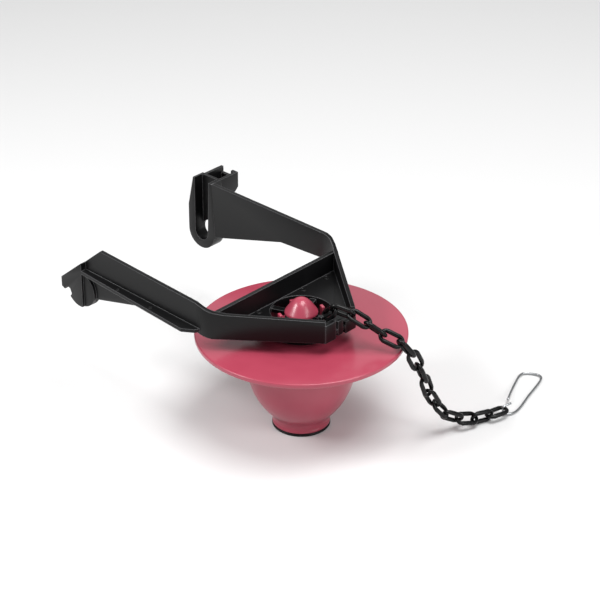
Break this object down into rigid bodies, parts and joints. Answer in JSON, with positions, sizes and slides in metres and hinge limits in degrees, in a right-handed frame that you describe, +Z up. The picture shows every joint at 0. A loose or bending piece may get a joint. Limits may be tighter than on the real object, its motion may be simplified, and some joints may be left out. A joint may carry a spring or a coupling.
{
  "type": "toilet flapper",
  "caption": "Toilet flapper: a round rubber seal over a hollow cone, held by a forked plastic frame with pivot ears, with a plastic lift chain and a bent wire clip.",
  "frame": {"origin": "centre of the base plug's flat underside, which stands on the surface", "axes": "+Z up along the cone's axis, +X from the pivot ears towards the chain hook, +Y towards the ear with the channel and the pocket"},
  "size_m": [0.1877, 0.1611, 0.0796],
  "materials": {
    "black_plastic": "satin moulded, soft edges",
    "red_rubber": "smooth satin moulded rubber",
    "chain_plastic": "slightly glossy moulded plastic",
    "clip_wire": "bright drawn wire"
  },
  "bodies": {
    "flapper": {"pivot_frame": "black_plastic", "rubber_seal": "red_rubber", "base_plug": "black_plastic"},
    "chain_link_01": {"chain_link_01": "chain_plastic"},
    "chain_link_02": {"chain_link_02": "chain_plastic"},
    "chain_link_03": {"chain_link_03": "chain_plastic"},
    "chain_link_04": {"chain_link_04": "chain_plastic"},
    "chain_link_05": {"chain_link_05": "chain_plastic"},
    "chain_link_06": {"chain_link_06": "chain_plastic"},
    "chain_link_07": {"chain_link_07": "chain_plastic"},
    "chain_link_08": {"chain_link_08": "chain_plastic"},
    "chain_link_09": {"chain_link_09": "chain_plastic"},
    "chain_link_10": {"chain_link_10": "chain_plastic"},
    "chain_link_11": {"chain_link_11": "chain_plastic"},
    "chain_link_12": {"chain_link_12": "chain_plastic"},
    "chain_link_13": {"chain_link_13": "chain_plastic"},
    "chain_link_14": {"chain_link_14": "chain_plastic"},
    "chain_link_15": {"chain_link_15": "chain_plastic"},
    "wire_clip": {"wire_clip": "clip_wire"}
  },
  "joints": [
    {"name": "chain_link_01_swing", "type": "hinge", "parent": "flapper", "child": "chain_link_01", "pos_m": [0.01543, -0.0002, 0.06374], "axis": [0, 1, 0], "range_deg": [-20, 0]},
    {"name": "chain_link_02_swing", "type": "hinge", "parent": "chain_link_01", "child": "chain_link_02", "pos_m": [0.02172, -0.0002, 0.0696], "axis": [0.3678, -0.8139, -0.4498], "range_deg": [0, 20]},
    {"name": "chain_link_03_swing", "type": "hinge", "parent": "chain_link_02", "child": "chain_link_03", "pos_m": [0.02862, 0.0043, 0.0671], "axis": [-0.569, 0.2345, -0.7882], "range_deg": [-20, 0]},
    {"name": "chain_link_04_swing", "type": "hinge", "parent": "chain_link_03", "child": "chain_link_04", "pos_m": [0.03552, 0.0076, 0.0631], "axis": [-0.0231, -0.7633, -0.6457], "range_deg": [0, 20]},
    {"name": "chain_link_05_swing", "type": "hinge", "parent": "chain_link_04", "child": "chain_link_05", "pos_m": [0.04174, 0.01136, 0.05844], "axis": [0.5984, -0.4718, 0.6476], "range_deg": [-5, 20]},
    {"name": "chain_link_06_swing", "type": "hinge", "parent": "chain_link_05", "child": "chain_link_06", "pos_m": [0.04861, 0.01535, 0.055], "axis": [-0.0609, -0.8403, -0.5387], "range_deg": [-5, 20]},
    {"name": "chain_link_07_swing", "type": "hinge", "parent": "chain_link_06", "child": "chain_link_07", "pos_m": [0.0515, 0.01963, 0.04801], "axis": [0.9491, -0.3121, -0.0425], "range_deg": [-20, 20]},
    {"name": "chain_link_08_swing", "type": "hinge", "parent": "chain_link_07", "child": "chain_link_08", "pos_m": [0.05241, 0.02344, 0.04022], "axis": [-0.3198, -0.8646, -0.3875], "range_deg": [-20, 20]},
    {"name": "chain_link_09_swing", "type": "hinge", "parent": "chain_link_08", "child": "chain_link_09", "pos_m": [0.05321, 0.02672, 0.03223], "axis": [-0.9978, -0.0076, -0.0662], "range_deg": [-20, 20]},
    {"name": "chain_link_10_swing", "type": "hinge", "parent": "chain_link_09", "child": "chain_link_10", "pos_m": [0.05372, 0.02969, 0.02414], "axis": [-0.3268, 0.8593, 0.3933], "range_deg": [-20, 20]},
    {"name": "chain_link_11_swing", "type": "hinge", "parent": "chain_link_10", "child": "chain_link_11", "pos_m": [0.05511, 0.03368, 0.01658], "axis": [0.7692, 0.3468, 0.5368], "range_deg": [-20, 20]},
    {"name": "chain_link_12_swing", "type": "hinge", "parent": "chain_link_11", "child": "chain_link_12", "pos_m": [0.05742, 0.03876, 0.00998], "axis": [0.6851, -0.5634, -0.4618], "range_deg": [-20, 20]},
    {"name": "chain_link_13_swing", "type": "hinge", "parent": "chain_link_12", "child": "chain_link_13", "pos_m": [0.06044, 0.0458, 0.00586], "axis": [-0.5626, 0.0209, -0.8265], "range_deg": [-20, 20]},
    {"name": "chain_link_14_swing", "type": "hinge", "parent": "chain_link_13", "child": "chain_link_14", "pos_m": [0.06352, 0.05361, 0.00397], "axis": [-0.9335, 0.3193, 0.163], "range_deg": [-20, 20]},
    {"name": "chain_link_15_swing", "type": "hinge", "parent": "chain_link_14", "child": "chain_link_15", "pos_m": [0.06622, 0.06179, 0.00342], "axis": [-0.0277, -0.008, 0.9996], "range_deg": [-20, 20]},
    {"name": "wire_clip_swing", "type": "hinge", "parent": "chain_link_15", "child": "wire_clip", "pos_m": [0.06845, 0.0701, 0.00355], "axis": [-0.9655, 0.2593, -0.0247], "range_deg": [-20, 20]}
  ]
}
